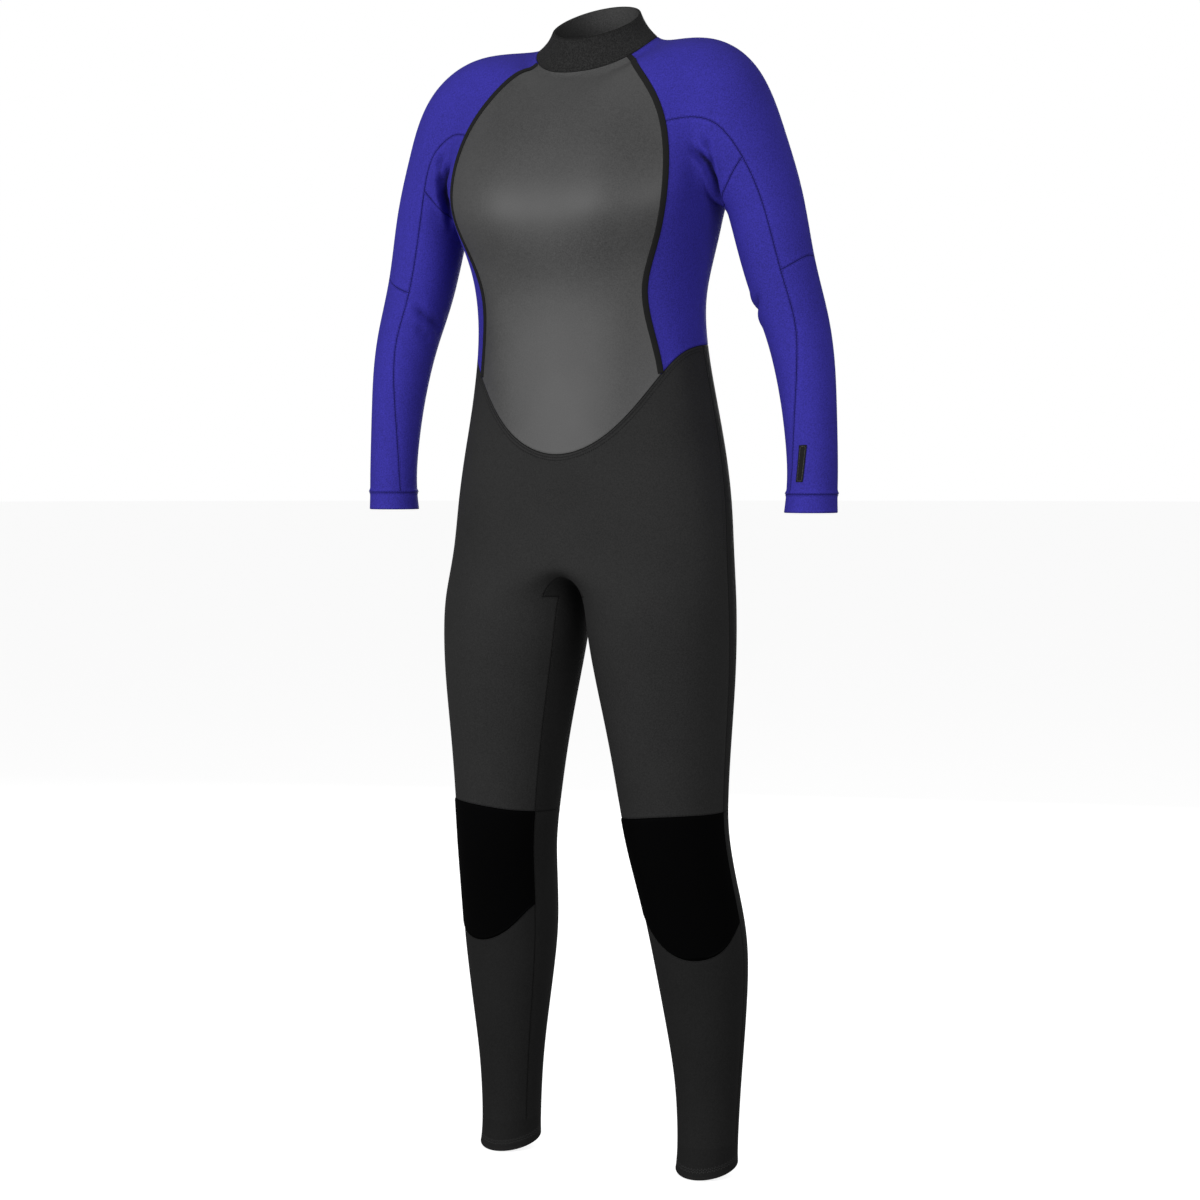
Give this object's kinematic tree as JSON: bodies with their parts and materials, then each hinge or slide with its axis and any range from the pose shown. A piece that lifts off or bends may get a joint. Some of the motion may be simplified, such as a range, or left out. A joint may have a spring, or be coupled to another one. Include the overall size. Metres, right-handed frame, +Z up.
{
  "type": "full wetsuit",
  "caption": "Full-length neoprene wetsuit with long sleeves, smooth chest panel, knee pads and a back zip under a closing collar tab.",
  "frame": {"origin": "centre of the suit's bounding box at the lowest point of the ankle hems", "axes": "+Z up the standing wearer, -Y the wearer's front, +X the wearer's left"},
  "size_m": [0.6125, 0.228, 1.3826],
  "materials": {
    "blue_jersey": "nylon-lined neoprene, fine knit, matt",
    "black_jersey": "nylon-lined neoprene, fine knit, matt",
    "gusset_jersey": "nylon-lined neoprene, fine knit, matt",
    "collar_jersey": "ribbed knit over neoprene, matt",
    "smooth_skin": "smooth-skin neoprene with a fine mesh emboss, satin",
    "knee_rubber": "printed rubber over knit, matt",
    "piping": "liquid rubber seam tape, satin",
    "zip_tape": "woven polyester tape",
    "zip_teeth": "moulded acetal, satin",
    "zip_metal": "plated zinc, satin",
    "loop_pile": "napped loop pile",
    "label_weave": "woven satin tag, blank"
  },
  "bodies": {
    "torso": {"chest_panel": "smooth_skin", "chest_trim_left": "piping", "chest_trim_right": "piping", "side_panel_left": "blue_jersey", "side_panel_right": "blue_jersey", "upper_back_left": "black_jersey", "upper_back_right": "black_jersey", "pelvis_front": "black_jersey", "lower_back": "black_jersey", "crotch_gusset": "gusset_jersey", "neck_collar": "collar_jersey", "loop_patch": "loop_pile", "zip_tape_left": "zip_tape", "zip_tape_right": "zip_tape", "zip_teeth_left": "zip_teeth", "zip_teeth_right": "zip_teeth", "zip_bottom_stop": "zip_metal", "guard_strip": "black_jersey", "zip_guard": "black_jersey", "shoulder_panel_left": "blue_jersey", "underarm_panel_left": "blue_jersey", "shoulder_panel_right": "blue_jersey", "underarm_panel_right": "blue_jersey", "hip_front_left": "black_jersey", "hip_back_left": "black_jersey", "hip_front_right": "black_jersey", "hip_back_right": "black_jersey"},
    "upper_arm_left": {"upper_sleeve_outer_left": "blue_jersey", "upper_sleeve_inner_left": "blue_jersey", "elbow_outer_left": "blue_jersey", "elbow_inner_left": "blue_jersey"},
    "forearm_left": {"forearm_outer_left": "blue_jersey", "forearm_inner_left": "blue_jersey", "cuff_left": "blue_jersey", "sleeve_label": "label_weave"},
    "thigh_left": {"thigh_front_left": "black_jersey", "thigh_back_left": "black_jersey", "knee_pad_left": "knee_rubber", "knee_back_left": "black_jersey"},
    "shin_left": {"shin_front_left": "black_jersey", "calf_back_left": "black_jersey", "ankle_hem_left": "black_jersey"},
    "upper_arm_right": {"upper_sleeve_outer_right": "blue_jersey", "upper_sleeve_inner_right": "blue_jersey", "elbow_outer_right": "blue_jersey", "elbow_inner_right": "blue_jersey"},
    "forearm_right": {"forearm_outer_right": "blue_jersey", "forearm_inner_right": "blue_jersey", "cuff_right": "blue_jersey"},
    "thigh_right": {"thigh_front_right": "black_jersey", "thigh_back_right": "black_jersey", "knee_pad_right": "knee_rubber", "knee_back_right": "black_jersey"},
    "shin_right": {"shin_front_right": "black_jersey", "calf_back_right": "black_jersey", "ankle_hem_right": "black_jersey"},
    "zip_slider": {"zip_slider": "zip_metal"},
    "zip_pull": {"zip_pull": "zip_metal"},
    "collar_tab": {"collar_tab": "collar_jersey"}
  },
  "joints": [
    {"name": "shoulder_left", "type": "hinge", "parent": "torso", "child": "upper_arm_left", "pos_m": [0.203, 0.01463, 1.1836], "axis": [0, -1, 0], "range_deg": [0, 45], "stiffness_Nm_per_rad": 3, "deforming": ["shoulder_panel_left", "underarm_panel_left"]},
    {"name": "elbow_left", "type": "hinge", "parent": "upper_arm_left", "child": "forearm_left", "pos_m": [0.259, 0.01763, 0.9906], "axis": [-0.9708, 0, -0.24], "range_deg": [0, 85], "stiffness_Nm_per_rad": 1.5, "deforming": ["elbow_outer_left", "elbow_inner_left"]},
    {"name": "hip_left", "type": "hinge", "parent": "torso", "child": "thigh_left", "pos_m": [0.095, 0.00463, 0.6796], "axis": [-1, 0, 0], "range_deg": [-10, 45], "stiffness_Nm_per_rad": 5, "deforming": ["hip_front_left", "hip_back_left"]},
    {"name": "knee_left", "type": "hinge", "parent": "thigh_left", "child": "shin_left", "pos_m": [0.116, 0.01263, 0.3656], "axis": [1, 0, 0], "range_deg": [0, 75], "stiffness_Nm_per_rad": 3, "deforming": ["knee_pad_left", "knee_back_left"]},
    {"name": "shoulder_right", "type": "hinge", "parent": "torso", "child": "upper_arm_right", "pos_m": [-0.203, 0.01463, 1.1836], "axis": [0, 1, 0], "range_deg": [0, 45], "stiffness_Nm_per_rad": 3, "deforming": ["shoulder_panel_right", "underarm_panel_right"]},
    {"name": "elbow_right", "type": "hinge", "parent": "upper_arm_right", "child": "forearm_right", "pos_m": [-0.259, 0.01763, 0.9906], "axis": [-0.9708, 0, 0.24], "range_deg": [0, 85], "stiffness_Nm_per_rad": 1.5, "deforming": ["elbow_outer_right", "elbow_inner_right"]},
    {"name": "hip_right", "type": "hinge", "parent": "torso", "child": "thigh_right", "pos_m": [-0.095, 0.00463, 0.6796], "axis": [-1, 0, 0], "range_deg": [-10, 45], "stiffness_Nm_per_rad": 5, "deforming": ["hip_front_right", "hip_back_right"]},
    {"name": "knee_right", "type": "hinge", "parent": "thigh_right", "child": "shin_right", "pos_m": [-0.116, 0.01263, 0.3656], "axis": [1, 0, 0], "range_deg": [0, 75], "stiffness_Nm_per_rad": 3, "deforming": ["knee_pad_right", "knee_back_right"]},
    {"name": "zip_slide", "type": "slide", "parent": "torso", "child": "zip_slider", "axis": [0, 0.03, -0.9996], "range_m": [0, 0.32]},
    {"name": "zip_pull_hinge", "type": "hinge", "parent": "zip_slider", "child": "zip_pull", "pos_m": [0, 0.09198, 1.28544], "axis": [1, 0, 0], "range_deg": [0, 110]},
    {"name": "collar_tab_hinge", "type": "hinge", "parent": "torso", "child": "collar_tab", "pos_m": [0.025, 0.0848, 1.3558], "axis": [0, 0.4679, -0.8838], "range_deg": [0, 80], "stiffness_Nm_per_rad": 0.02}
  ]
}
